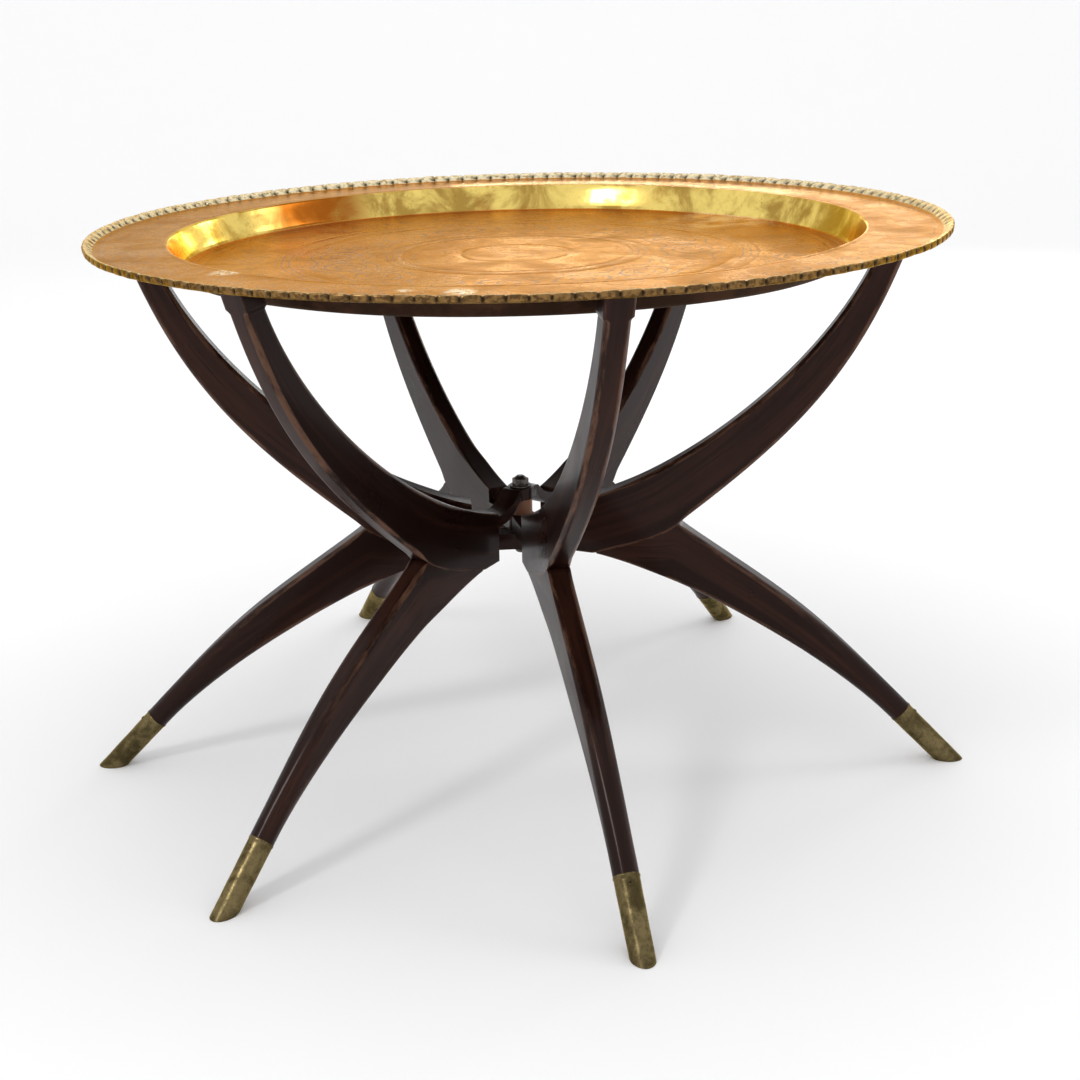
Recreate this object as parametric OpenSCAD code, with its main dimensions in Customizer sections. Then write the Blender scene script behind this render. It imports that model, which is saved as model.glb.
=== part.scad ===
// Folding brass tray table: a loose round brass tray on a six-legged wooden stand.
// The stand is three crossed frames that turn on one upright bolt. Each frame has
// two curved arms that carry the tray, two lower legs glued under the arms, a
// crossbar through the middle and a brass ferrule on each foot.
// Millimetres, +Z up. The floor is z = 0 and the origin is the middle of the
// table's outline on the floor.

/* [Tray] */
// Diameter of the tray over its crimped edge
tray_d = 740; // [600:10:900]
// Height of the crimped edge above the floor
table_h = 498; // [420:1:620]
// Width of the flat rim, from the outer edge to the top of the well
rim_w = 70; // [50:1:95]
// How far the well's sloping wall runs in
wall_run = 10; // [4:1:25]
// Depth of the well below the flat rim
well_depth = 24; // [12:1:40]
// Thickness of the brass sheet
sheet_t = 1.6; // [1:0.1:3]
// Width of the crimped edge
edge_w = 9; // [6:1:14]
// Height of the crimped edge above the flat rim
edge_h = 4; // [2:0.5:8]

/* [Frames] */
// Thickness of the boards that the arms are cut from
board_t = 20; // [16:1:30]
// Compass direction of each leg, seen from above
leg_angles = [187.2, 234.3, 284.5, 354.5, 57.0, 119.6]; // [0:0.1:360]
// Radius at which a foot stands, measured to the middle of its sole
foot_r = 394; // [340:1:460]
// How far outside the well an arm's top end starts
tip_gap = 18; // [8:1:30]
// Width of an arm's top end, along the arm's plane
tip_w = 22.5; // [18:0.5:40]
// Length of the square block left at an arm's top end
tip_block_h = 17; // [8:1:30]
// How far that block stands proud of the board on each side
tip_lip = 1.5; // [0.5:0.5:3]
// Radius at which the arms meet the crossbars
hub_r = 46; // [42:1:80]
// Height of the stand's underside at the crossbars
hub_z = 199; // [180:1:250]
// How far an arm's inner end stands above the arch that it holds
hub_cap = 2.05; // [0.5:0.05:6]
// Radius of the crook between an arm and its lower leg
crook_r = 144; // [120:1:160]
// Height of that crook
crook_z = 226; // [212:1:250]
// Angle of the lower leg to the floor at the ferrule
foot_angle = 45.5; // [38:0.5:60]

/* [Crossbars and pivot] */
// Height of the two straight crossbars
bar_h = 15; // [9:0.5:18]
// Height of the arched crossbar
arch_h = 11; // [9:0.5:14]
// How much wider than a board the round swelling of a crossbar is at the bolt
boss_extra = 4; // [1:0.5:10]
// Rise of the arch from its ends to its crown
arch_rise = 15; // [6:1:20]
// Diameter of the turned wooden spacer under the arch
spacer_d = 21; // [16:1:30]
// Height of that spacer
spacer_h = 15; // [10:1:26]
// Diameter of the pivot bolt
bolt_d = 8; // [6:1:10]
// Radial clearance of the turning bars on the bolt
bolt_gap = 0.05; // [0.02:0.01:0.1]
// Diameter of the washers
washer_d = 20; // [16:1:24]
// Thickness of the washers
washer_t = 1.2; // [1:0.1:2]

/* [Ferrules] */
// Outside diameter of a ferrule, and of the leg's end above it
ferrule_d = 21; // [17:0.5:26]
// Length of a ferrule along the leg
ferrule_len = 64; // [40:1:90]
// Wall of a ferrule
ferrule_wall = 1; // [0.8:0.1:2]
// Thickness of a ferrule's closed sole
sole_t = 1.5; // [1:0.1:3]
// Diameter of the nail that holds a ferrule
nail_d = 1.8; // [1.2:0.1:2.5]
// Length of that nail, under its head
nail_len = 9; // [6:1:14]
// Distance of the nail from the ferrule's upper end
nail_inset = 9; // [5:1:20]

/* [Glue dowels] */
// Diameter of a dowel between a crossbar and an arm
bar_dowel_d = 6; // [4:1:6]
// Length of that dowel
bar_dowel_len = 26; // [18:1:30]
// Diameter of a dowel between an arm and its lower leg
scarf_dowel_d = 7; // [5:1:8]
// Length of that dowel
scarf_dowel_len = 32; // [24:1:36]

/* [Hidden] */

$fn = 64;
eps = 0.01;
turn_gap = 0.25;    // between faces that turn past each other
seat_gap = 0.3;     // between the arm tips and the tray that lies on them
glue_gap = 0.05;    // round a dowel, and between a ferrule and its tenon
curve_n = 14;       // straight steps in each curved edge
round_n = 24;       // sides of the nails
tray_n = 180;       // sides of the tray
cut_over = 1;       // how far a bore's cutter stands out of the piece
dark_wood = "#2b1712";
light_wood = "#6d3f2a";
brass = "#c9962f";
old_brass = "#8a7a45";
steel = "#6f6a60";

// Heights and radii of the tray and of the arms' tips
rim_z = table_h - edge_h;
tip_z = rim_z - sheet_t - seat_gap;
tray_r = tray_d / 2;
well_top_r = tray_r - rim_w;
well_floor_r = well_top_r - wall_run;
floor_z = rim_z - well_depth;
tip_r = well_top_r + tip_gap;

// Heights of the crossbars, from the lowest up
lower_z = hub_z;
middle_z = lower_z + bar_h + washer_t + 2 * turn_gap;
spacer_z = middle_z + bar_h + turn_gap;
crown_z = spacer_z + spacer_h;
arch_end_z = crown_z - arch_rise;
hub_h = arch_end_z + arch_h + hub_cap - hub_z;
boss_d = board_t + boss_extra;
bolt_head_h = 5;
bolt_head_d = bolt_d + 9;
nut_h = 6;
nut_af = bolt_d + 5;
nut_cone_h = 2.5;
bolt_short = 1;     // how far the bolt ends below the nut's shoulder
bolt_end = crown_z + arch_h + washer_t + nut_h - bolt_short;
bore_d = bolt_d + 2 * bolt_gap;

// Half of the arch, in [radius, height]: a flat crown, then a curve down to the arm.
// The swelling at the bolt stands a little proud of the arch above and below.
boss_proud = 0.4;
arch_flat = boss_d / 2 + 1;
arch_bend = 0.75;   // how far the arch's flat ends reach in, as a share of its span
arch_span = hub_r - arch_flat;
arch_crown = crown_z + boss_proud;
arch_plate_h = arch_h - 2 * boss_proud;

// The lower leg's end: where the ferrule starts, seen along the leg's plane
along = [cos(foot_angle), -sin(foot_angle)];
across = [sin(foot_angle), cos(foot_angle)];
ferrule_top = [foot_r, 0] - ferrule_len * along;
tenon_d = ferrule_d - 2 * ferrule_wall - 2 * glue_gap;

// The middle of the outline on the floor lies in front of or behind the bolt,
// because the front and back feet don't reach equally far
foot_reach = foot_r + ferrule_d / 2 / sin(foot_angle);
foot_ys = [for (a = leg_angles) foot_reach * sin(a)];
axis_y = -(min(min(foot_ys), -tray_r) + max(max(foot_ys), tray_r)) / 2;

function bezier(a, b, c, d, n = curve_n) =
    [for (i = [0:n])
        let (t = i / n, s = 1 - t)
        s * s * s * a + 3 * s * s * t * b + 3 * s * t * t * c + t * t * t * d];
function heading(slope) = [1, slope] / sqrt(1 + slope * slope);
function reversed(p) = [for (i = [len(p) - 1:-1:0]) p[i]];
function tail(p) = [for (i = [1:len(p) - 1]) p[i]];

arch_under = bezier([arch_flat, arch_crown],
                    [arch_flat + (1 - arch_bend) / 2 * arch_span, arch_crown],
                    [hub_r - arch_bend * arch_span, arch_end_z], [hub_r, arch_end_z]);
arch_top = [for (p = arch_under) p + [0, arch_plate_h]];

// Edges of an arm and its lower leg in the plane [radius, height]. Each is one
// curve that leaves its first point and reaches its last one at a set slope.
function edge(p, q, slope_p, slope_q, pull) =
    let (l = norm(q - p) * pull)
    bezier(p, p + l * heading(slope_p), q - l * heading(slope_q), q);

hub_bottom = [hub_r, hub_z];
hub_top = [hub_r, hub_z + hub_h];
scarf_in = 22;      // how far outside the arm's inner end the lower leg starts
scarf_drop = 2.5;   // and how far below it
scarf_start = [hub_r + scarf_in, hub_z - scarf_drop];
crook = [crook_r, crook_z];
tip_inner = [tip_r, tip_z];
tip_outer = [tip_r + tip_w, tip_z];
leg_end_top = ferrule_top + ferrule_d / 2 * across;
leg_end_bottom = ferrule_top - ferrule_d / 2 * across;
foot_slope = -tan(foot_angle);
crook_slope = 0.82;
third = 1 / 3;

scarf_line = edge(scarf_start, crook, 0.38, crook_slope, third);
arm_under = edge(crook, tip_outer, crook_slope, 3.18, 0.4);
arm_top = edge(hub_top, tip_inner, 0.245, 3.6, 0.3);
leg_top = edge(crook, leg_end_top, -0.69, foot_slope, 0.5);
leg_under = edge(scarf_start, leg_end_bottom, -0.24, foot_slope, 0.28);

arm_outline = concat([hub_bottom], scarf_line, tail(arm_under), reversed(arm_top));
leg_outline = concat(scarf_line, tail(leg_top), reversed(tail(leg_under)));

// Where the two scarf dowels cross the joint line, and the way they point
scarf_way = heading((crook[1] - scarf_start[1]) / (crook[0] - scarf_start[0]));
scarf_angle = atan2(scarf_way[1], scarf_way[0]);
scarf_places = [0.57, 0.83];
scarf_up_share = 0.6;   // of a dowel's length, above the joint line

// The nail's head, and the half section of the raised edge, from its inner foot
nail_head_h = 0.8;
nail_head_gap = 0.05;
nail_shank_over = 0.5;
edge_in = [tray_r - edge_w, rim_z];
edge_out_z = rim_z + 0.3 * edge_h;
sheet_down = [0.5 * sheet_t, -sheet_t];     // from the well's upper face to its lower face

// Places a piece drawn along +X, at the origin, on the arm or leg with number i
module at_leg(i) translate([0, axis_y, 0]) rotate([0, 0, leg_angles[i - 1]]) children();

module at_axis() translate([0, axis_y, 0]) children();

// A plate drawn in [radius, height], with its middle plane through the bolt
module upright(t) rotate([90, 0, 0]) linear_extrude(t, center = true) children();

module bar_dowel_places(z)
    for (side = [-1, 1])
        translate([hub_r - bar_dowel_len / 2, side * board_t / 4, z]) rotate([0, 90, 0]) children();

module scarf_dowel_places()
    for (share = scarf_places)
        let (p = scarf_start + share * (crook - scarf_start))
            translate([p[0], 0, p[1]]) rotate([0, -scarf_angle, 0])
                translate([0, 0, -(1 - scarf_up_share) * scarf_dowel_len]) children();

module dowel(d, len) cylinder(d = d, h = len);

// Height of the dowels between an arm and its crossbar
function bar_dowel_z(i) =
    (i == 1 || i == 4) ? lower_z + bar_h / 2 :
    (i == 3 || i == 6) ? middle_z + bar_h / 2 :
    arch_end_z + arch_h / 2 - boss_proud;

module arm(i) color(dark_wood) at_leg(i)
    difference() {
        union() {
            upright(board_t) polygon(arm_outline);
            upright(board_t + 2 * tip_lip) intersection() {
                polygon(arm_outline);
                translate([tip_r - 2 * tip_w, tip_z - tip_block_h]) square([4 * tip_w, 2 * tip_block_h]);
            }
        }
        bar_dowel_places(bar_dowel_z(i)) dowel(bar_dowel_d + 2 * glue_gap, bar_dowel_len + glue_gap);
        scarf_dowel_places() dowel(scarf_dowel_d + 2 * glue_gap, scarf_dowel_len + glue_gap);
    }

// Along and into a ferrule: its own axis is +Z, pointing down the leg
module at_ferrule()
    translate([ferrule_top[0], 0, ferrule_top[1]]) rotate([0, 90 + foot_angle, 0]) children();

// All that lies above a height, near a foot
module above(z) translate([foot_r / 2, -2 * ferrule_d, z]) cube([foot_r, 4 * ferrule_d, 2 * ferrule_len]);

module at_nail() at_ferrule() translate([0, 0, nail_inset]) rotate([0, -90, 0]) children();

module leg(i) color(dark_wood) at_leg(i)
    difference() {
        union() {
            intersection() {
                upright(board_t) polygon(leg_outline);
                linear_extrude(crook_z + cut_over) polygon([
                    [hub_r, -board_t / 2], [crook_r, -board_t / 2], [foot_r, -ferrule_d / 2],
                    [foot_r, ferrule_d / 2], [crook_r, board_t / 2], [hub_r, board_t / 2]
                ]);
            }
            intersection() {
                at_ferrule() translate([0, 0, -cut_over]) cylinder(d = tenon_d, h = 2 * ferrule_len);
                above(sole_t + glue_gap);
            }
        }
        scarf_dowel_places() translate([0, 0, -glue_gap])
            dowel(scarf_dowel_d + 2 * glue_gap, scarf_dowel_len);
        at_nail() translate([0, 0, ferrule_d / 2 - nail_len - glue_gap])
            cylinder(d = nail_d + 2 * glue_gap, h = nail_len + cut_over, $fn = round_n);
    }

module ferrule(i) color(old_brass) at_leg(i)
    difference() {
        intersection() {
            at_ferrule() cylinder(d = ferrule_d, h = 2 * ferrule_len);
            above(0);
        }
        intersection() {
            at_ferrule() translate([0, 0, -cut_over])
                cylinder(d = ferrule_d - 2 * ferrule_wall, h = 2 * ferrule_len);
            above(sole_t);
        }
        at_nail() cylinder(d = nail_d + 2 * glue_gap, h = ferrule_d, $fn = round_n);
    }

module nail(i) at_leg(i) at_nail() {
    translate([0, 0, ferrule_d / 2 - nail_len])
        cylinder(d = nail_d, h = nail_len + nail_shank_over, $fn = round_n);
    translate([0, 0, ferrule_d / 2 + nail_head_gap])
        cylinder(d1 = 2.2 * nail_d, d2 = 1.6 * nail_d, h = nail_head_h, $fn = round_n);
}

module frame_nails(i, j) color(brass) {
    nail(i);
    nail(j);
}

module frame_dowels(i, j) color(light_wood) for (k = [i, j]) at_leg(k) {
    bar_dowel_places(bar_dowel_z(k)) dowel(bar_dowel_d, bar_dowel_len);
    scarf_dowel_places() dowel(scarf_dowel_d, scarf_dowel_len);
}

// The dowels' holes in a crossbar
module bar_dowel_holes(i, j)
    for (k = [i, j])
        at_leg(k) bar_dowel_places(bar_dowel_z(k))
            translate([0, 0, -glue_gap]) dowel(bar_dowel_d + 2 * glue_gap, bar_dowel_len);

// A straight bar from one arm of a frame to the other, with a round swelling at the bolt
module straight_bar(i, j, z, bore)
    difference() {
        at_axis() translate([0, 0, z]) linear_extrude(bar_h) difference() {
            union() {
                for (k = [i, j])
                    rotate(leg_angles[k - 1]) translate([0, -board_t / 2]) square([hub_r, board_t]);
                circle(d = boss_d);
            }
            circle(d = bore);
        }
        bar_dowel_holes(i, j);
    }

module lower_crossbar() color(dark_wood) straight_bar(1, 4, lower_z, bolt_d);

module middle_crossbar() color(dark_wood) straight_bar(3, 6, middle_z, bore_d);

module arched_crossbar() color(dark_wood)
    difference() {
        union() {
            for (k = [2, 5])
                at_leg(k) upright(board_t)
                    polygon(concat([[0, arch_crown]], arch_under, reversed(arch_top),
                                   [[0, arch_crown + arch_plate_h]]));
            at_axis() translate([0, 0, crown_z]) cylinder(d = boss_d, h = arch_h);
        }
        at_axis() translate([0, 0, crown_z - cut_over]) cylinder(d = bore_d, h = arch_h + 2 * cut_over);
        bar_dowel_holes(2, 5);
    }

module pivot_bolt() color(steel) at_axis() {
    translate([0, 0, lower_z - bolt_head_h])
        cylinder(d1 = 0.6 * bolt_head_d, d2 = bolt_head_d, h = bolt_head_h);
    translate([0, 0, lower_z - eps]) cylinder(d = bolt_d, h = bolt_end - lower_z);
}

// One washer between the two straight bars and one under the nut
module pivot_washers() color(steel) at_axis()
    for (z = [lower_z + bar_h + turn_gap / 2, crown_z + arch_h + turn_gap])
        translate([0, 0, z]) difference() {
            cylinder(d = washer_d, h = washer_t);
            translate([0, 0, -cut_over]) cylinder(d = bolt_d, h = washer_t + 2 * cut_over);
        }

module pivot_cap_nut() color(steel) at_axis() translate([0, 0, crown_z + arch_h + washer_t + turn_gap])
    difference() {
        union() {
            cylinder(d = nut_af / cos(30), h = nut_h, $fn = 6);
            translate([0, 0, nut_h]) cylinder(d1 = nut_af - 1, d2 = nut_af / 2, h = nut_cone_h);
        }
        translate([0, 0, -cut_over]) cylinder(d = bolt_d, h = nut_h + cut_over);
    }

module pivot_spacer() color(light_wood) at_axis() translate([0, 0, spacer_z])
    difference() {
        cylinder(d = spacer_d, h = spacer_h);
        translate([0, 0, -cut_over]) cylinder(d = bore_d, h = spacer_h + 2 * cut_over);
    }

// The tray is spun from one sheet, given here as its flat rim, its sloping wall and its floor
module spun() color(brass) at_axis() rotate_extrude($fn = tray_n) children();

module tray_rim() spun()
    polygon([
        [well_top_r, rim_z], edge_in, [tray_r - 0.62 * edge_w, table_h], [tray_r - 0.3 * edge_w, table_h],
        [tray_r, edge_out_z], [tray_r, rim_z - sheet_t], [well_top_r, rim_z] + sheet_down
    ]);

module tray_wall() spun()
    polygon([
        [well_floor_r, floor_z], [well_top_r, rim_z],
        [well_top_r, rim_z] + sheet_down, [well_floor_r, floor_z] + sheet_down
    ]);

module tray_bottom() spun()
    polygon([
        [0, floor_z], [well_floor_r, floor_z], [well_floor_r, floor_z] + sheet_down, [0, floor_z - sheet_t]
    ]);

tray_rim();
tray_wall();
tray_bottom();
lower_crossbar();
middle_crossbar();
arched_crossbar();
pivot_bolt();
pivot_washers();
pivot_cap_nut();
pivot_spacer();
arm(1);  // arm_1
arm(2);  // arm_2
arm(3);  // arm_3
arm(4);  // arm_4
arm(5);  // arm_5
arm(6);  // arm_6
leg(1);  // leg_1
leg(2);  // leg_2
leg(3);  // leg_3
leg(4);  // leg_4
leg(5);  // leg_5
leg(6);  // leg_6
ferrule(1);  // ferrule_1
ferrule(2);  // ferrule_2
ferrule(3);  // ferrule_3
ferrule(4);  // ferrule_4
ferrule(5);  // ferrule_5
ferrule(6);  // ferrule_6
frame_dowels(1, 4);  // lower_frame_dowels
frame_dowels(2, 5);  // upper_frame_dowels
frame_dowels(3, 6);  // middle_frame_dowels
frame_nails(1, 4);  // lower_frame_nails
frame_nails(2, 5);  // upper_frame_nails
frame_nails(3, 6);  // middle_frame_nails
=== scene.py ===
import math

import bmesh
import bpy
import numpy as np
from mathutils import Matrix, Vector


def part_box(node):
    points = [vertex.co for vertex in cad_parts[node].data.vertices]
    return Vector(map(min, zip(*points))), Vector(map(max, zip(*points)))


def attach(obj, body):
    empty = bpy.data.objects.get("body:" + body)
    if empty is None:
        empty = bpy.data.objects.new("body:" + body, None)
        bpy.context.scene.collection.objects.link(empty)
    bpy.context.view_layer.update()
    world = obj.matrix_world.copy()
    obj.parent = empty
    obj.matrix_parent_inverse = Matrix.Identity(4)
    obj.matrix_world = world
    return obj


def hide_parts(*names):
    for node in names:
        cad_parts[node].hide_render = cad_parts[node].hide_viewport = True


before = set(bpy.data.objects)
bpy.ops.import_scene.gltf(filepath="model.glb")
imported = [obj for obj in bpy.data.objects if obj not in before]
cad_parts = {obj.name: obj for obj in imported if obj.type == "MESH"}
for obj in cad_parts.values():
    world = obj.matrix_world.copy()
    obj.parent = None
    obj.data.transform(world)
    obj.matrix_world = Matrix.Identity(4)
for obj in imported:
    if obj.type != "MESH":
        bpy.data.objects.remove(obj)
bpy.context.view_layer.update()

# Brass tray table on a folding six-legged stand. Metres, Z up, the floor at z = 0.

scene = bpy.context.scene
collection = scene.collection
trayLow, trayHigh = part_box("tray_rim")
pivot = (trayLow + trayHigh) / 2          # the bolt's axis runs through the tray's middle
pivotX, pivotY = pivot.x, pivot.y
print("frame loaded:", len(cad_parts), "nodes")


camera = dict(place=(0.059, -1.4713, 0.698), yaw=-3.873, pitch=18.342, roll=-1.781,
              lens=56.27, sensor=36.0, shiftX=0.0583)


def makeCamera(c):
    yaw, pitch, roll = (math.radians(c[k]) for k in ("yaw", "pitch", "roll"))
    ahead = Vector((math.sin(yaw) * math.cos(pitch), math.cos(yaw) * math.cos(pitch), -math.sin(pitch)))
    level = Vector((math.cos(yaw), -math.sin(yaw), 0))
    upright = level.cross(ahead)
    right = math.cos(roll) * level + math.sin(roll) * upright
    up = -math.sin(roll) * level + math.cos(roll) * upright
    data = bpy.data.cameras.new("camera")
    data.sensor_width = c["sensor"]
    data.lens = c["lens"]
    data.shift_x = c["shiftX"]
    data.clip_end = 60
    cam = bpy.data.objects.new("camera", data)
    turn = Matrix((right, up, -ahead)).transposed().to_4x4()
    cam.matrix_world = Matrix.Translation(c["place"]) @ turn
    collection.objects.link(cam)
    scene.camera = cam


makeCamera(camera)


# small helpers
def bezier(a, b, c, d, n):
    t = np.linspace(0, 1, n)[:, None]
    a, b, c, d = (np.array(p, float) for p in (a, b, c, d))
    return (1 - t) ** 3 * a + 3 * (1 - t) ** 2 * t * b + 3 * (1 - t) * t ** 2 * c + t ** 3 * d


def heading(slope):
    return np.array([1.0, slope]) / math.hypot(1, slope)


# one smooth edge that leaves p and reaches q at a set slope
def edgeCurve(p, q, slopeP, slopeQ, pull, n=60):
    p, q = np.array(p, float), np.array(q, float)
    reach = np.linalg.norm(q - p) * pull
    return bezier(p, p + reach * heading(slopeP), q - reach * heading(slopeQ), q, n)


def lengthAlong(points):
    return np.r_[0, np.cumsum(np.linalg.norm(np.diff(points, axis=0), axis=1))]


# points at the given shares of a curve's length
def pointsAt(points, shares):
    steps = lengthAlong(points)
    return np.stack([np.interp(np.array(shares) * steps[-1], steps, points[:, i]) for i in range(2)], 1)


def smoothStep(x, low, high):
    t = np.clip((x - low) / (high - low), 0, 1)
    return t * t * (3 - 2 * t)


# a skin over closed rings of points; marks are values per point, kept as attributes
def skin(name, rings, marks=None, capStart=True, capEnd=True):
    rings = np.array(rings, float)
    n, m = rings.shape[:2]
    faces = []
    for i in range(n - 1):
        for k in range(m):
            l = (k + 1) % m
            faces.append((i * m + k, i * m + l, (i + 1) * m + l, (i + 1) * m + k))
    if capStart:
        faces.append(tuple(range(m - 1, -1, -1)))
    if capEnd:
        faces.append(tuple((n - 1) * m + k for k in range(m)))
    mesh = bpy.data.meshes.new(name)
    mesh.from_pydata(rings.reshape(-1, 3).tolist(), [], faces)
    for key, values in (marks or {}).items():
        values = np.array(values, np.float32)
        isVector = values.ndim == 3
        layer = mesh.attributes.new(key, "FLOAT_VECTOR" if isVector else "FLOAT", "POINT")
        layer.data.foreach_set("vector" if isVector else "value", values.reshape(-1))
    return mesh


def tidyMesh(mesh, sharpAngle=40, turnOut=True, weld=1e-6):
    bm = bmesh.new()
    bm.from_mesh(mesh)
    bmesh.ops.remove_doubles(bm, verts=bm.verts, dist=weld)
    bmesh.ops.dissolve_degenerate(bm, edges=bm.edges, dist=1e-7)
    if turnOut:
        bmesh.ops.recalc_face_normals(bm, faces=bm.faces)
    bm.to_mesh(mesh)
    bm.free()
    mesh.shade_smooth()
    mesh.set_sharp_from_angle(angle=math.radians(sharpAngle))
    mesh.update()
    return mesh


def addPiece(name, mesh, material, body, slot, *nodes):
    piece = bpy.data.objects.new(name, mesh)
    collection.objects.link(piece)
    mesh.materials.clear()
    mesh.materials.append(material)
    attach(piece, body)
    if nodes:
        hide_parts(*nodes)
    return piece


# helpers for materials
def newMaterial(name):
    material = bpy.data.materials.new(name)
    material.use_nodes = True
    tree = material.node_tree
    tree.nodes.clear()
    output = tree.nodes.new("ShaderNodeOutputMaterial")
    shader = tree.nodes.new("ShaderNodeBsdfPrincipled")
    tree.links.new(shader.outputs[0], output.inputs[0])
    return material, tree, shader


def feed(tree, socket, value):
    if isinstance(value, bpy.types.NodeSocket):
        tree.links.new(value, socket)
    elif isinstance(value, (tuple, list)) and socket.type == "RGBA":
        socket.default_value = (*value, 1.0)
    else:
        socket.default_value = value


def put(tree, kind, inputs=None, **settings):
    node = tree.nodes.new(kind)
    for key, value in settings.items():
        setattr(node, key, value)
    for key, value in (inputs or {}).items():
        feed(tree, node.inputs[key], value)
    return node


def calc(tree, operation, *values):
    node = put(tree, "ShaderNodeMath", operation=operation)
    for socket, value in zip(node.inputs, values):
        feed(tree, socket, value)
    return node.outputs[0]


def remap(tree, value, low, high, toLow=0.0, toHigh=1.0):
    node = put(tree, "ShaderNodeMapRange", {"Value": value, "From Min": low, "From Max": high,
                                            "To Min": toLow, "To Max": toHigh})
    node.interpolation_type = "SMOOTHSTEP"
    return node.outputs[0]


def mixColor(tree, share, a, b, mode="MIX"):
    node = put(tree, "ShaderNodeMix", data_type="RGBA", blend_type=mode)
    for socket, value in ((node.inputs[0], share), (node.inputs[6], a), (node.inputs[7], b)):
        feed(tree, socket, value)
    return node.outputs[2]


def noise(tree, vector, scale, detail=4.0, roughness=0.55, distortion=0.0):
    return put(tree, "ShaderNodeTexNoise", {"Vector": vector, "Scale": scale, "Detail": detail,
                                            "Roughness": roughness, "Distortion": distortion}).outputs[0]


def stretched(tree, vector, scale):
    return put(tree, "ShaderNodeMapping", {"Vector": vector, "Scale": scale}).outputs[0]


def attribute(tree, name, output="Fac"):
    return put(tree, "ShaderNodeAttribute", attribute_name=name).outputs[output]


def addBump(tree, shader, height, strength, distance):
    bump = put(tree, "ShaderNodeBump", {"Height": height, "Strength": strength, "Distance": distance})
    tree.links.new(bump.outputs[0], shader.inputs["Normal"])


# dark varnished wood; its worn colour, laid along the edges, is edge wear and also a painted highlight
darkWood = dict(deep=(0.0078, 0.0028, 0.0020), streak=(0.030, 0.0102, 0.0064), worn=(0.19, 0.095, 0.058),
                roughness=(0.24, 0.42), specular=0.12, sheen=(1.0, 0.62, 0.52), coat=0.12,
                coatRoughness=0.12, poreDepth=0.0005)


def makeWood(name, w):
    material, tree, shader = newMaterial(name)
    grain = attribute(tree, "grain", "Vector")
    bands = noise(tree, stretched(tree, grain, (3.0, 60.0, 60.0)), 1.0, 5.0, 0.6, 0.6)
    pores = noise(tree, stretched(tree, grain, (14.0, 420.0, 420.0)), 1.0, 3.0, 0.6)
    blotch = noise(tree, grain, 9.0, 3.0, 0.5)
    scuff = noise(tree, stretched(tree, grain, (18.0, 90.0, 90.0)), 1.0, 6.0, 0.7)
    color = mixColor(tree, remap(tree, bands, 0.42, 0.68), w["deep"], w["streak"])
    color = mixColor(tree, remap(tree, blotch, 0.35, 0.75, 0.0, 0.6), color, w["deep"])
    # the edges take the worn colour: partly real edge wear, partly a painted highlight standing in for light
    # edge lines
    worn = calc(tree, "MULTIPLY", remap(tree, scuff, 0.40, 0.60, 0.0, 0.75), attribute(tree, "edge"))
    color = mixColor(tree, worn, color, w["worn"])
    pits = remap(tree, pores, 0.30, 0.42)
    color = mixColor(tree, pits, w["deep"], color)
    tree.links.new(color, shader.inputs["Base Color"])
    sheen = calc(tree, "ADD", calc(tree, "MULTIPLY", blotch, 0.7), calc(tree, "MULTIPLY", scuff, 0.3))
    tree.links.new(remap(tree, sheen, 0.3, 0.7, *w["roughness"]), shader.inputs["Roughness"])
    shader.inputs["Specular IOR Level"].default_value = w["specular"]
    shader.inputs["Specular Tint"].default_value = (*w["sheen"], 1)
    shader.inputs["Coat Weight"].default_value = w["coat"]
    shader.inputs["Coat Roughness"].default_value = w["coatRoughness"]
    waves = noise(tree, stretched(tree, grain, (5.0, 25.0, 25.0)), 1.0, 2.0)
    height = calc(tree, "ADD", calc(tree, "MULTIPLY", pits, 0.25), calc(tree, "MULTIPLY", waves, 0.8))
    addBump(tree, shader, height, 0.25, w["poreDepth"])
    return material


wood = makeWood("darkWood", darkWood)
print("wood ready")


# arms and lower legs
legAngles = {1: 187.2, 2: 234.3, 3: 284.5, 4: 354.5, 5: 57.0, 6: 119.6}
legBody = {1: "lower_frame", 4: "lower_frame", 2: "upper_frame", 5: "upper_frame",
           3: "middle_frame", 6: "middle_frame"}
board = dict(thick=0.020, hubR=0.046, hubZ=0.199, hubH=0.045, scarfR=0.068, scarfZ=0.1965,
             crookR=0.144, crookZ=0.226, crookSlope=0.82, tipR=0.318, tipW=0.0225, tipZ=0.4921,
             blockH=0.017, blockLip=0.0015, chamfer=0.0030, softEdge=0.0008, jointEdge=0.0002,
             footR=0.394, footAngle=45.5, ferruleD=0.021, ferruleLen=0.064, sections=110,
             armGrainStep=0.83, legGrainStep=1.37, jointSlope=0.38, jointPull=1 / 3, outerSlope=3.18,
             outerPull=0.4, innerSlopes=(0.245, 3.6), innerPull=0.3, legTopSlope=-0.69, legTopPull=0.5,
             legUnderSlope=-0.24, legUnderPull=0.28)
footTurn = math.radians(board["footAngle"])
along = np.array([math.cos(footTurn), -math.sin(footTurn)])
across = np.array([math.sin(footTurn), math.cos(footTurn)])
ferruleTop = np.array([board["footR"], 0]) - board["ferruleLen"] * along


def armEdges(b):
    hubBottom, hubTop = (b["hubR"], b["hubZ"]), (b["hubR"], b["hubZ"] + b["hubH"])
    scarf, crook = (b["scarfR"], b["scarfZ"]), (b["crookR"], b["crookZ"])
    tipIn, tipOut = (b["tipR"], b["tipZ"]), (b["tipR"] + b["tipW"], b["tipZ"])
    joint = edgeCurve(scarf, crook, b["jointSlope"], b["crookSlope"], b["jointPull"])
    outer = edgeCurve(crook, tipOut, b["crookSlope"], b["outerSlope"], b["outerPull"])
    under = np.concatenate([[hubBottom], joint, outer[1:]])
    top = edgeCurve(hubTop, tipIn, *b["innerSlopes"], b["innerPull"])
    return under, top, joint


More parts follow.
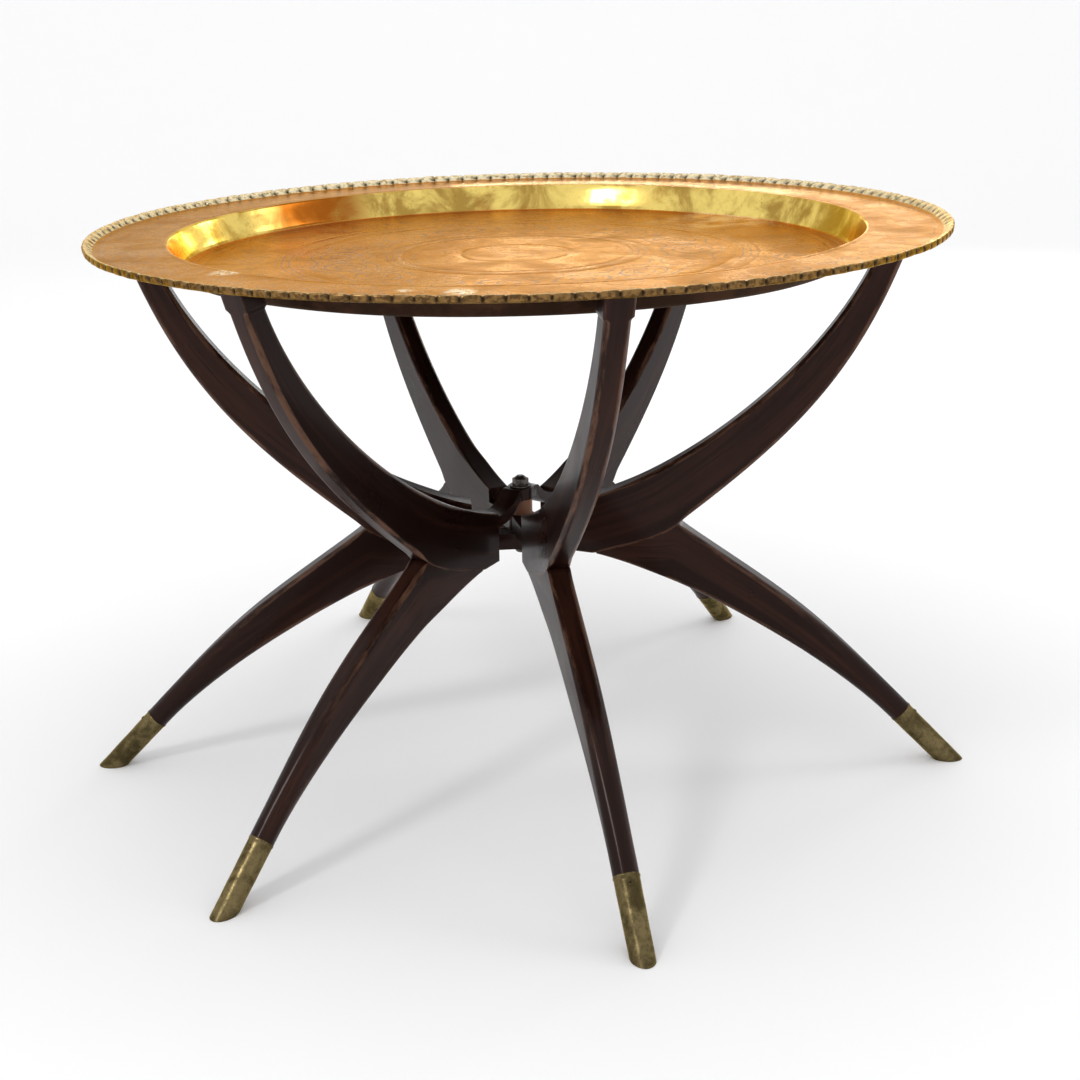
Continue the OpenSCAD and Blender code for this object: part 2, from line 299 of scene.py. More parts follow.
def legEdges(b, joint):
    half = b["ferruleD"] / 2
    footSlope = -math.tan(footTurn)
    endTop, endUnder = ferruleTop + half * across, ferruleTop - half * across
    top = edgeCurve(joint[-1], endTop, b["legTopSlope"], footSlope, b["legTopPull"])
    under = edgeCurve(joint[0], endUnder, b["legUnderSlope"], footSlope, b["legUnderPull"])
    return under, np.concatenate([joint, top[1:]])


# the section of a board: corners cut by a chamfer that is flat at roundness 0 and an arc at 1
def boardRing(height, half, cutUnder, cutTop, roundness, steps=5):
    corners = ((0, -half, (0, 1), (1, 0), cutUnder), (height, -half, (-1, 0), (0, 1), cutTop),
               (height, half, (0, -1), (-1, 0), cutTop), (0, half, (1, 0), (0, -1), cutUnder))
    ring, edge = [], []
    for s, y, back, ahead, cut in corners:
        cut = min(cut, height / 2, half)
        back, ahead = np.array(back, float), np.array(ahead, float)
        sideBack, sideAhead = (half * 2, height) if back[0] == 0 else (height, half * 2)
        reachBack = min(cut + 0.0015, cut + 0.3 * (sideBack / 2 - cut))
        reachAhead = min(cut + 0.0015, cut + 0.3 * (sideAhead / 2 - cut))
        ring.append(np.array([s, y]) + reachBack * back)
        edge.append(0)
        for t in np.linspace(0, 1, steps):
            a = t * math.pi / 2
            arc = (1 - math.sin(a)) * back + (1 - math.cos(a)) * ahead
            flat = (1 - t) * back + t * ahead
            ring.append(np.array([s, y]) + cut * (roundness * arc + (1 - roundness) * flat))
            edge.append(1)
        ring.append(np.array([s, y]) + reachAhead * ahead)
        edge.append(0)
    return np.array(ring), np.array(edge, float)


# a board between an under edge and a top edge, stood up in the plane of its leg
def shapeBoard(under, top, shares, half, cutUnder, cutTop, roundness, grainShift):
    u, t = pointsAt(under, shares), pointsAt(top, shares)
    middle = lengthAlong((u + t) / 2)
    rings, grains, edges = [], [], []
    for i in range(len(shares)):
        height = np.linalg.norm(t[i] - u[i])
        ring, edge = boardRing(height, half[i], cutUnder[i], cutTop[i], roundness[i])
        place = u[i] + (t[i] - u[i]) * (ring[:, :1] / height)
        rings.append(np.stack([place[:, 0], ring[:, 1], place[:, 1]], 1))
        grains.append(np.stack([np.full(len(ring), middle[i] + grainShift),
                                ring[:, 0] - height / 2, ring[:, 1]], 1))
        edges.append(edge * (1 - roundness[i]))
    return rings, grains, edges


def turned(points, degrees):
    a = math.radians(degrees)
    turn = np.array([[math.cos(a), -math.sin(a), 0], [math.sin(a), math.cos(a), 0], [0, 0, 1]])
    return np.array(points) @ turn.T + np.array([pivotX, pivotY, 0])


def makeArm(number, b):
    under, top, joint = armEdges(b)
    shares = np.sort(np.r_[np.linspace(0, 1, b["sections"]),
                           1 - np.array([0.9, 1.0, 1.1, 1.2]) * b["blockH"] / lengthAlong(top)[-1]])
    underLength = lengthAlong(under)
    crookShare = np.interp(b["crookR"], under[:, 0], underLength) / underLength[-1]
    blockShare = 1 - b["blockH"] / lengthAlong(top)[-1]
    inBlock = smoothStep(shares, blockShare - 0.008, blockShare)
    chamfered = smoothStep(shares, 0.10, 0.20) * (1 - inBlock)
    half = b["thick"] / 2 + b["blockLip"] * inBlock
    cutTop = b["softEdge"] + (b["chamfer"] - b["softEdge"]) * chamfered
    pastCrook = smoothStep(shares, crookShare - 0.004, crookShare + 0.03)
    cutUnder = b["jointEdge"] + (cutTop - b["jointEdge"]) * pastCrook
    roundness = np.full(len(shares), 0.3)
    rings, grains, edges = shapeBoard(under, top, shares, half, cutUnder, cutTop, roundness,
                                      number * b["armGrainStep"])
    rings = [turned(r, legAngles[number]) for r in rings]
    mesh = tidyMesh(skin(f"arm_{number}", rings, {"grain": grains, "edge": edges}), 35)
    return addPiece(f"arm_{number}_shaped", mesh, wood, legBody[number], "dark_wood", f"arm_{number}")


def makeLeg(number, b):
    joint = armEdges(b)[2]
    under, top = legEdges(b, joint)
    shares = np.r_[0.006, np.linspace(0.02, 1, b["sections"])]
    topLength = lengthAlong(top)
    crookShare = np.interp(b["crookR"], top[:, 0], topLength) / topLength[-1]
    radius = pointsAt(top, shares)[:, 0]
    endHalf = b["ferruleD"] / 2
    toEnd = np.clip((radius - b["crookR"]) / (ferruleTop[0] - b["crookR"]), 0, 1)
    half = b["thick"] / 2 + (endHalf - b["thick"] / 2) * toEnd
    turnedRound = smoothStep(shares, 0.45, 0.97)
    cut = b["softEdge"] + (b["chamfer"] - b["softEdge"]) * smoothStep(shares, 0.16, 0.30)
    cut = cut + (endHalf - cut) * turnedRound
    pastCrook = smoothStep(shares, crookShare - 0.004, crookShare + 0.03)
    cutTop = b["jointEdge"] + (cut - b["jointEdge"]) * pastCrook
    roundness = 0.35 + 0.65 * smoothStep(shares, 0.35, 0.85)
    rings, grains, edges = shapeBoard(under, top, shares, half, cut, cutTop, roundness,
                                      number * b["legGrainStep"])
    rings = [turned(r, legAngles[number]) for r in rings]
    mesh = tidyMesh(skin(f"leg_{number}", rings, {"grain": grains, "edge": edges}), 35)
    return addPiece(f"leg_{number}_shaped", mesh, wood, legBody[number], "dark_wood", f"leg_{number}")


for number in legAngles:
    makeArm(number, board)
    makeLeg(number, board)
print("arms and legs ready")


# crossbars: a copy of each CAD bar with its edges eased
def easedCopy(node, width, steps=3, grainAngle=None):
    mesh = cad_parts[node].data.copy()
    bm = bmesh.new()
    bm.from_mesh(mesh)
    bmesh.ops.remove_doubles(bm, verts=bm.verts, dist=2e-5)
    bmesh.ops.dissolve_limit(bm, angle_limit=math.radians(1.0), verts=bm.verts, edges=bm.edges)
    sharp = [e for e in bm.edges if len(e.link_faces) == 2 and e.calc_face_angle() > math.radians(35)]
    bmesh.ops.bevel(bm, geom=sharp, offset=width, segments=steps, profile=0.6, affect="EDGES",
                    clamp_overlap=True, offset_type="WIDTH")
    bmesh.ops.triangulate(bm, faces=[f for f in bm.faces if len(f.verts) > 4])
    bm.to_mesh(mesh)
    bm.free()
    co = np.zeros(len(mesh.vertices) * 3, np.float32)
    mesh.vertices.foreach_get("co", co)
    co = co.reshape(-1, 3)
    if grainAngle is not None:
        a = math.radians(grainAngle)
        x, y = co[:, 0] - pivotX, co[:, 1] - pivotY
        lengthwise = x * math.cos(a) + y * math.sin(a)
        sideways = y * math.cos(a) - x * math.sin(a)
        grain = np.stack([lengthwise, sideways, co[:, 2]], 1)
        mesh.attributes.new("grain", "FLOAT_VECTOR", "POINT").data.foreach_set("vector", grain.reshape(-1))
    mesh.shade_smooth()
    mesh.set_sharp_from_angle(angle=math.radians(30))
    return mesh


crossbars = {"lower_crossbar": ("lower_frame", 180.9), "middle_crossbar": ("middle_frame", 292.0),
             "arched_crossbar": ("upper_frame", 235.6)}
for node, (body, angle) in crossbars.items():
    addPiece(node + "_eased", easedCopy(node, 0.0012, grainAngle=angle), wood, body, "dark_wood", node)
print("crossbars ready")


# light wood of the spacer
lightWood = dict(deep=(0.16, 0.065, 0.035), streak=(0.36, 0.17, 0.095), worn=(0.45, 0.26, 0.16),
                 roughness=(0.45, 0.65), specular=0.4, sheen=(1.0, 0.9, 0.8), coat=0.0,
                 coatRoughness=0.4, poreDepth=0.0006)
spacerWood = makeWood("spacerWood", lightWood)


def standingGrain(mesh):
    co = np.zeros(len(mesh.vertices) * 3, np.float32)
    mesh.vertices.foreach_get("co", co)
    co = co.reshape(-1, 3)
    grain = np.stack([co[:, 2], co[:, 0], co[:, 1]], 1)
    mesh.attributes.new("grain", "FLOAT_VECTOR", "POINT").data.foreach_set("vector", grain.reshape(-1))
    return mesh


addPiece("pivot_spacer_turned", standingGrain(easedCopy("pivot_spacer", 0.0012)), spacerWood,
         "upper_frame", "spacer_wood", "pivot_spacer")


# plain wood of the hidden dowels, which stay as CAD made them
hiddenWood = dict(pale=(0.42, 0.26, 0.14), dark=(0.22, 0.115, 0.055), roughness=(0.55, 0.75))


def makeDowelWood(name, w):
    material, tree, shader = newMaterial(name)
    place = put(tree, "ShaderNodeTexCoord").outputs["Object"]
    fibres = noise(tree, place, 420.0, 5.0, 0.65, 0.5)
    color = mixColor(tree, remap(tree, fibres, 0.38, 0.62), w["dark"], w["pale"])
    tree.links.new(color, shader.inputs["Base Color"])
    tree.links.new(remap(tree, fibres, 0.3, 0.7, *w["roughness"]), shader.inputs["Roughness"])
    addBump(tree, shader, fibres, 0.3, 0.0003)
    return material


dowelWood = makeDowelWood("dowelWood", hiddenWood)
for node in ("lower_frame_dowels", "upper_frame_dowels", "middle_frame_dowels"):
    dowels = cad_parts[node]
    dowels.data.materials.clear()
    dowels.data.materials.append(dowelWood)
print("dowels ready")


# dull steel of the bolt, washers and cap nut
dullSteel = dict(dark=(0.045, 0.038, 0.032), bright=(0.16, 0.15, 0.135), rust=(0.10, 0.036, 0.016),
                 roughness=(0.35, 0.62))


def makeSteel(name, s):
    material, tree, shader = newMaterial(name)
    place = put(tree, "ShaderNodeTexCoord").outputs["Object"]
    patches = noise(tree, place, 220.0, 5.0, 0.65)
    specks = noise(tree, place, 900.0, 3.0, 0.6)
    color = mixColor(tree, remap(tree, patches, 0.35, 0.65), s["dark"], s["bright"])
    color = mixColor(tree, remap(tree, specks, 0.56, 0.68, 0.0, 0.8), color, s["rust"])
    tree.links.new(color, shader.inputs["Base Color"])
    tree.links.new(remap(tree, patches, 0.3, 0.7, *s["roughness"]), shader.inputs["Roughness"])
    shader.inputs["Metallic"].default_value = 0.9
    addBump(tree, shader, specks, 0.2, 0.0002)
    return material


steel = makeSteel("dullSteel", dullSteel)
for node in ("pivot_bolt", "pivot_washers", "pivot_cap_nut"):
    addPiece(node + "_eased", easedCopy(node, 0.0004, 2), steel, "lower_frame", "pivot_steel", node)
print("pivot ready")


# brass materials
trayBrass = dict(orange=(0.55, 0.215, 0.040), tan=(0.66, 0.31, 0.085), brown=(0.29, 0.115, 0.028),
                 polish=(0.82, 0.62, 0.17), olive=(0.38, 0.235, 0.050), ember=(0.30, 0.085, 0.008),
                 pale=(0.95, 0.84, 0.56), crust=(0.52, 0.39, 0.19), tarnish=(0.24, 0.135, 0.046),
                 soot=(0.085, 0.048, 0.020), edgeTint=(1.0, 0.72, 0.36), line=(0.16, 0.058, 0.014),
                 # under and underLight: the underside's near-black colour, partly tarnish, partly painted
                 # shade
                 lineDepth=0.85, curls=0.80, grime=(0.024, 0.015, 0.008), under=(0.022, 0.010, 0.007),
                 underLight=(0.050, 0.022, 0.013), stain=(0.95, 0.93, 0.84), roughness=(0.20, 0.38),
                 # the pale patch on the floor at right-back is a painted reflection of a bright window
                 rubbed=(0.08, 0.36, 0.62), scorch=((-0.205, 0.212, 0.075),), paintedGlare=((0.205, 0.190, 0.085),),
                 spots=((-0.210, -0.225, 0.018), (-0.025, -0.325, 0.015), (-0.065, -0.318, 0.009)))
ferruleBrass = dict(clean=(0.17, 0.130, 0.060), dull=(0.062, 0.046, 0.020), green=(0.034, 0.031, 0.014),
                    dark=(0.030, 0.024, 0.012), edgeTint=(1.0, 0.88, 0.62), roughness=(0.20, 0.40))


def makeFerruleBrass(name, f):
    material, tree, shader = newMaterial(name)
    place = put(tree, "ShaderNodeTexCoord").outputs["Object"]
    cloud = noise(tree, place, 45.0, 5.0, 0.6, 0.4)
    stain = noise(tree, place, 130.0, 6.0, 0.7, 0.8)
    specks = noise(tree, place, 700.0, 4.0, 0.6)
    lengthwise = stretched(tree, attribute(tree, "grain", "Vector"), (90.0, 1500.0, 1500.0))
    scratches = noise(tree, lengthwise, 1.0, 4.0, 0.7)
    color = mixColor(tree, remap(tree, cloud, 0.38, 0.62), f["dull"], f["clean"])
    color = mixColor(tree, remap(tree, stain, 0.48, 0.68, 0.0, 0.6), color, f["green"])
    color = mixColor(tree, remap(tree, specks, 0.60, 0.68, 0.0, 0.8), color, f["dark"])
    color = mixColor(tree, remap(tree, scratches, 0.62, 0.70, 0.0, 0.5), color, f["clean"])
    tree.links.new(color, shader.inputs["Base Color"])
    tree.links.new(remap(tree, stain, 0.35, 0.65, *f["roughness"]), shader.inputs["Roughness"])
    shader.inputs["Metallic"].default_value = 1.0
    shader.inputs["Specular Tint"].default_value = (*f["edgeTint"], 1)
    height = calc(tree, "ADD", calc(tree, "MULTIPLY", scratches, 0.6), calc(tree, "MULTIPLY", cloud, 0.8))
    addBump(tree, shader, height, 0.25, 0.0004)
    return material


agedBrass = makeFerruleBrass("agedBrass", ferruleBrass)


# ferrules: a tube round the leg's end, cut off level with the floor
ferrule = dict(lip=0.0004, lipLength=0.0016, taper=0.0005, wall=0.0011, dent=0.00022,
               rings=34, sides=56, soleEase=0.0006, nailInset=0.009)


def makeFerrule(number, b, f):
    radius = b["ferruleD"] / 2
    angles = np.linspace(0, 2 * math.pi, f["sides"], endpoint=False)
    # toward the leg's outer side (up) and to its left, round the tube
    up, left = np.cos(angles), np.sin(angles)
    profile = [(0.0012, radius - f["wall"]), (0.0, radius - f["wall"]), (-0.0002, radius + f["lip"] * 0.5),
               (0.0004, radius + f["lip"]), (f["lipLength"], radius + f["lip"]),
               (f["lipLength"] * 1.5, radius)]
    rest = [(t, None) for t in np.linspace(0.06, 1, f["rings"])]
    rings, grains = [], []
    for start, size in profile + rest:
        if size is None:
            size = radius - f["taper"] * start
            floorDistance = (ferruleTop[1] + size * up * across[1]) / -along[1]
            distance = start * floorDistance
            if start == 1:
                distance = distance - f["soleEase"]
        else:
            distance = np.full(f["sides"], start)
        shape = np.full(f["sides"], size)
        if size >= radius - f["taper"]:
            wobble = np.array([math.sin(3 * a + number * 2.1 + d * 90) * math.cos(a * 2 - d * 140 + number)
                               for a, d in zip(angles, np.broadcast_to(distance, angles.shape))])
            shape = shape - f["dent"] * (0.5 + 0.5 * wobble)
        r = ferruleTop[0] + distance * along[0] + shape * up * across[0]
        z = ferruleTop[1] + distance * along[1] + shape * up * across[1]
        rings.append(np.stack([r, shape * left, z], 1))
        grains.append(np.stack([distance + number * 0.31, shape * up, shape * left], 1))
    sole = rings[-1].mean(0)
    tubeEnd = rings[-1]
    for shrink in (0.97, 0.90, 0.5):
        ring = sole + (tubeEnd - sole) * shrink
        ring[:, 2] = 0.0
        rings.append(ring)
        grains.append(grains[-1])
    rings = [turned(r, legAngles[number]) for r in rings]
    mesh = tidyMesh(skin(f"ferrule_{number}", rings, {"grain": grains}), 40)
    return addPiece(f"ferrule_{number}_worn", mesh, agedBrass, legBody[number], "ferrule_brass",
                    f"ferrule_{number}")


for number in legAngles:
    makeFerrule(number, board, ferrule)
print("ferrules ready")


# nails: a small domed head on each ferrule
nail = dict(radius=0.0020, height=0.0011, sides=20)


def makeNail(number, b, n):
    centre = ferruleTop + ferrule["nailInset"] * along + (b["ferruleD"] / 2 - 0.0004) * across
    rings = []
    for share in (0.0, 0.15, 0.4, 0.65, 0.85, 0.97):
        size = n["radius"] * math.cos(share * math.pi / 2)
        lift = n["height"] * math.sin(share * math.pi / 2)
        a = np.linspace(0, 2 * math.pi, n["sides"], endpoint=False)
        middle = centre + lift * across
        rings.append(np.stack([middle[0] + size * np.cos(a) * along[0], size * np.sin(a),
                               middle[1] + size * np.cos(a) * along[1]], 1))
    return skin(f"nail_{number}", [turned(r, legAngles[number]) for r in rings])


def joined(name, meshes):
    bm = bmesh.new()
    for mesh in meshes:
        bm.from_mesh(mesh)
        bpy.data.meshes.remove(mesh)
    mesh = bpy.data.meshes.new(name)
    bm.to_mesh(mesh)
    bm.free()
    return mesh


nailPairs = {"lower_frame": (1, 4), "upper_frame": (2, 5), "middle_frame": (3, 6)}
for body, pair in nailPairs.items():
    heads = joined(f"{body}_nail_heads", [makeNail(number, board, nail) for number in pair])
    grain = np.zeros(len(heads.vertices) * 3, np.float32)
    heads.vertices.foreach_get("co", grain)
    heads.attributes.new("grain", "FLOAT_VECTOR", "POINT").data.foreach_set("vector", grain)
    addPiece(f"{body}_nail_heads", tidyMesh(heads), agedBrass, body, "nail_brass", f"{body}_nails")
print("nails ready")


# chased work on the tray. Bands: from, to, line spacing, line width. Medallions: how many, ring radius,
# size, line spacing, line width. Scrolls: how fine, line width.
chasing = dict(bands=((0.268, 0.286, 0.0060, 0.0010), (0.192, 0.212, 0.0066, 0.0011),
                      (0.100, 0.116, 0.0060, 0.0010), (0.350, 0.358, 0.0050, 0.0008)),
               medallions=((28, 0.241, 0.024, 0.0078, 0.0011), (16, 0.154, 0.030, 0.0090, 0.0012),
                           (72, 0.336, 0.012, 0.0062, 0.0009)),
               scrolls=((62.0, 0.036), (120.0, 0.042)))


# the tray's brass: chased lines on the rim and floor, a polished wall, an underside painted near-black
# brown, partly tarnish, partly painted shade
def makeTrayBrass(name, t):
    material, tree, shader = newMaterial(name)
    place = put(tree, "ShaderNodeTexCoord").outputs["Object"]
    place = put(tree, "ShaderNodeVectorMath", {0: place, 1: (pivotX, pivotY, 0)},
                operation="SUBTRACT").outputs[0]
    parts = put(tree, "ShaderNodeSeparateXYZ", {0: place}).outputs
    radius = calc(tree, "SQRT", calc(tree, "ADD", calc(tree, "MULTIPLY", parts[0], parts[0]),
                                     calc(tree, "MULTIPLY", parts[1], parts[1])))
    angle = calc(tree, "ARCTAN2", parts[1], parts[0])
    wander = calc(tree, "MULTIPLY", calc(tree, "SUBTRACT", noise(tree, place, 26.0, 3.0), 0.5), 0.006)
    shaky = calc(tree, "ADD", radius, wander)

    # rings of lines, close together inside a band
    def bandLines(low, high, period, width):
        wave = calc(tree, "PINGPONG", shaky, period / 2)
        line = remap(tree, wave, width * 0.3, width, 1.0, 0.0)
        inside = calc(tree, "MULTIPLY", remap(tree, radius, low, low + 0.002),
                      remap(tree, radius, high - 0.002, high, 1.0, 0.0))
        return calc(tree, "MULTIPLY", line, inside)

    # a ring of round motifs, each of a few circles
    def medallions(count, middle, reach, period, width):
        sideways = calc(tree, "MULTIPLY", calc(tree, "SINE", calc(tree, "MULTIPLY", angle, count / 2)),
                        2 * middle / count)
        inOut = calc(tree, "SUBTRACT", shaky, middle)
        away = calc(tree, "SQRT", calc(tree, "ADD", calc(tree, "MULTIPLY", sideways, sideways),
                                       calc(tree, "MULTIPLY", inOut, inOut)))
        line = remap(tree, calc(tree, "PINGPONG", away, period / 2), width * 0.3, width, 1.0, 0.0)
        return calc(tree, "MULTIPLY", line, remap(tree, away, reach * 0.92, reach, 1.0, 0.0))

    def scrolls(scale, width):
        field = noise(tree, place, scale, 2.0, 0.5, 2.4)
        line = calc(tree, "ABSOLUTE", calc(tree, "SUBTRACT", field, 0.5))
        return remap(tree, line, 0.0, width, 1.0, 0.0)

    chased = [bandLines(*band) for band in chasing["bands"]]
    chased += [medallions(*ring) for ring in chasing["medallions"]]
    lines = chased[0]
    for more in chased[1:]:
        lines = calc(tree, "MAXIMUM", lines, more)
    curls = calc(tree, "MAXIMUM", *[scrolls(*kind) for kind in chasing["scrolls"]])
    lines = calc(tree, "MAXIMUM", lines, calc(tree, "MULTIPLY", curls, t["curls"]))
    onWall = attribute(tree, "wall")
    onCrimp = attribute(tree, "crimp")
    fold = attribute(tree, "fold")
    under = attribute(tree, "under")
    outside = attribute(tree, "outside")
    plain = calc(tree, "MAXIMUM", calc(tree, "MAXIMUM", onWall, onCrimp), under)
    lines = calc(tree, "MULTIPLY", lines, calc(tree, "SUBTRACT", 1.0, plain))
    worn = remap(tree, noise(tree, place, 9.0, 4.0, 0.6), 0.35, 0.68)
    lines = calc(tree, "MULTIPLY", lines, calc(tree, "ADD", calc(tree, "MULTIPLY", worn, 0.45), 0.55))

    cloud = noise(tree, place, 6.5, 4.0, 0.6, 0.3)
    patch = noise(tree, place, 22.0, 5.0, 0.65, 0.5)
    speck = noise(tree, place, 260.0, 4.0, 0.6)
    color = mixColor(tree, remap(tree, cloud, 0.36, 0.64), t["orange"], t["tan"])
    color = mixColor(tree, remap(tree, patch, 0.50, 0.72, 0.0, 0.55), color, t["brown"])
    polished = mixColor(tree, remap(tree, patch, 0.38, 0.62), t["polish"], t["olive"])
    polished = mixColor(tree, remap(tree, cloud, 0.50, 0.66), polished, t["ember"])
    # painted shade: the rim's left side is painted darker and browner
    leftRimShade = calc(tree, "MULTIPLY", remap(tree, parts[0], -0.16, -0.34, 0.0, 0.62),
                   remap(tree, radius, 0.298, 0.304))
    color = mixColor(tree, leftRimShade, color, t["brown"])
    color = mixColor(tree, onWall, color, polished)
    crust = mixColor(tree, remap(tree, speck, 0.46, 0.64), t["pale"], t["crust"])
    tarnished = mixColor(tree, remap(tree, speck, 0.40, 0.60), t["tarnish"], t["soot"])
    crust = mixColor(tree, outside, crust, tarnished)
    color = mixColor(tree, onCrimp, color, crust)
    color = mixColor(tree, calc(tree, "MULTIPLY", lines, t["lineDepth"]), color, t["line"])
    color = mixColor(tree, remap(tree, speck, 0.62, 0.72, 0.0, 0.5), color, t["brown"])
    color = mixColor(tree, calc(tree, "MULTIPLY", fold, 0.95), color, t["grime"])
    # the underside gets a near-black colour: partly tarnish, partly painted shade where the tray shades
    # itself
    undersideTarnishAndShade = mixColor(tree, remap(tree, patch, 0.4, 0.6), t["under"], t["underLight"])
    color = mixColor(tree, under, color, undersideTarnishAndShade)

    # how near a point is to a ragged spot of the given size
    def nearSpot(x, y, size):
        apart = put(tree, "ShaderNodeVectorMath", {0: place, 1: (x, y, t["rimZ"])}, operation="DISTANCE")
        ragged = calc(tree, "MULTIPLY", calc(tree, "SUBTRACT", patch, 0.5), size * 1.6)
        return remap(tree, calc(tree, "ADD", apart.outputs["Value"], ragged), size * 0.3, size, 1.0, 0.0)

    for x, y, size in t["scorch"]:
        color = mixColor(tree, calc(tree, "MULTIPLY", nearSpot(x, y, size), onWall), color, t["ember"])
    # painted reflection: a pale streaky patch on the floor near the wall's foot at right-back, standing in
    # for a bright window's reflection
    for x, y, size in t["paintedGlare"]:
        streaks = remap(tree, noise(tree, place, 34.0, 6.0, 0.7), 0.36, 0.60)
        glareShare = calc(tree, "MULTIPLY", nearSpot(x, y, size), streaks)
        glareShare = calc(tree, "MULTIPLY", glareShare, calc(tree, "SUBTRACT", 0.8, calc(tree, "MULTIPLY", plain, 0.8)))
        color = mixColor(tree, glareShare, color, t["pale"])
    for x, y, size in t["spots"]:
        spot = calc(tree, "MULTIPLY", nearSpot(x, y, size), remap(tree, speck, 0.40, 0.52))
        color = mixColor(tree, spot, color, t["stain"])
    tree.links.new(color, shader.inputs["Base Color"])
    dark = calc(tree, "MAXIMUM", calc(tree, "MAXIMUM", fold, under), calc(tree, "MULTIPLY", lines, 0.9))
    metal = calc(tree, "SUBTRACT", 1.0, calc(tree, "MULTIPLY", dark, 0.7))
    tree.links.new(metal, shader.inputs["Metallic"])
    matt = calc(tree, "SUBTRACT", 0.5, calc(tree, "MULTIPLY", dark, 0.42))
    tree.links.new(matt, shader.inputs["Specular IOR Level"])
    shader.inputs["Specular Tint"].default_value = (*t["edgeTint"], 1)
    dull = remap(tree, patch, 0.3, 0.7, *t["roughness"])
    dull = calc(tree, "ADD", dull, calc(tree, "MULTIPLY", under, 0.25))
    dull = calc(tree, "SUBTRACT", dull, calc(tree, "MULTIPLY", onWall, 0.10))
    # the far side of the rim is rubbed smoother
    low, high, share = t["rubbed"]
    far = calc(tree, "MULTIPLY", remap(tree, parts[1], low, high), remap(tree, radius, 0.296, 0.304))
    dull = calc(tree, "MULTIPLY", dull, calc(tree, "SUBTRACT", 1.0, calc(tree, "MULTIPLY", far, share)))
    tree.links.new(dull, shader.inputs["Roughness"])
    dents = noise(tree, place, 60.0, 2.0, 0.4)
    height = calc(tree, "ADD", calc(tree, "MULTIPLY", dents, 0.8), calc(tree, "MULTIPLY", lines, -0.5))
    height = calc(tree, "ADD", height, calc(tree, "MULTIPLY", speck, 0.12))
    addBump(tree, shader, height, 0.35, 0.0006)
    return material


tray = dict(crimps=150, crimpSteps=(0, 0.045, 0.11, 0.24, 0.5, 0.72, 0.87, 0.955), bandR=0.361,
            wellTopR=0.300, wellFloorR=0.290, rimZ=0.494, floorZ=0.470, sheet=0.0016, topEase=0.0024,
            footEase=0.0060, grooves=(0.281, 0.272, 0.212, 0.192, 0.116, 0.100, 0.048),
            rimGrooves=(0.357, 0.306),
            grooveDepth=0.00035, grooveHalf=0.0009, flatR=0.28, coarseR=0.284,
            footGap=0.0025, sway=0.0004, unevenness=0.0009, seed=7)
trayFinish = makeTrayBrass("trayBrass", dict(trayBrass, rimZ=tray["rimZ"]))


# a path of straight lines whose corners are rounded, as points [radius, height]
def easedPath(points, radii, steps=5):
    points = [np.array(p, float) for p in points]
    path = [points[0]]
    for before, corner, after, ease in zip(points, points[1:], points[2:], radii):
        back = (before - corner) / np.linalg.norm(before - corner)
        ahead = (after - corner) / np.linalg.norm(after - corner)
        half = math.acos(np.clip(back @ ahead, -1, 1)) / 2
        reach = ease / math.tan(half)
        middle = corner + (back + ahead) / np.linalg.norm(back + ahead) * ease / math.sin(half)
        a0 = corner + reach * back - middle
        a1 = corner + reach * ahead - middle
        span = math.pi - 2 * half
        for t in np.linspace(0, 1, steps + 1):
            path.append(middle + (math.sin((1 - t) * span) * a0 + math.sin(t * span) * a1) / math.sin(span))
    path.append(points[-1])
    return np.array(path)


# more points on the straight stretches of a path, and three across each groove
def filledPath(path, gap, grooves=(), depth=0.0, half=0.0):
    out = [path[0]]
    for p, q in zip(path, path[1:]):
        pieces = max(1, int(math.ceil(np.linalg.norm(q - p) / gap)))
        out += [p + (q - p) * k / pieces for k in range(1, pieces + 1)]
    out = np.array(out)
    if grooves:
        keep = [p for p in out if min(abs(p[0] - g) for g in grooves) > half * 1.3]
        for g in grooves:
            z = np.interp(g, path[::-1, 0], path[::-1, 1])
            keep += [np.array([g + half, z]), np.array([g, z - depth]), np.array([g - half, z])]
        out = np.array(sorted(keep, key=lambda p: -p[0]))
    return out


# one crimp of the edge: a puffed pillow, a pinch, and the pocket the fold leaves on its inner side
crimp = dict(profile=((0, 0), (0.6, 0.2), (1.3, 0.9), (2.2, 1.8), (3.4, 2.8), (4.8, 3.8), (6.2, 4.6),
                      (7.4, 5.0), (8.3, 4.7), (8.8, 3.8), (8.95, 2.5), (8.8, 1.1), (8.3, 0.0), (7.3, -0.7),
                      (5.6, -1.2), (3.4, -1.5), (1.5, -1.6), (0, -1.6)),
             pinchDrop=0.20, pinchIn=0.5, pinchWidth=0.045, notchIn=1.3, notchWidth=0.07, pocketDepth=2.2,
             pocketEnd=0.40, puff=0.22)


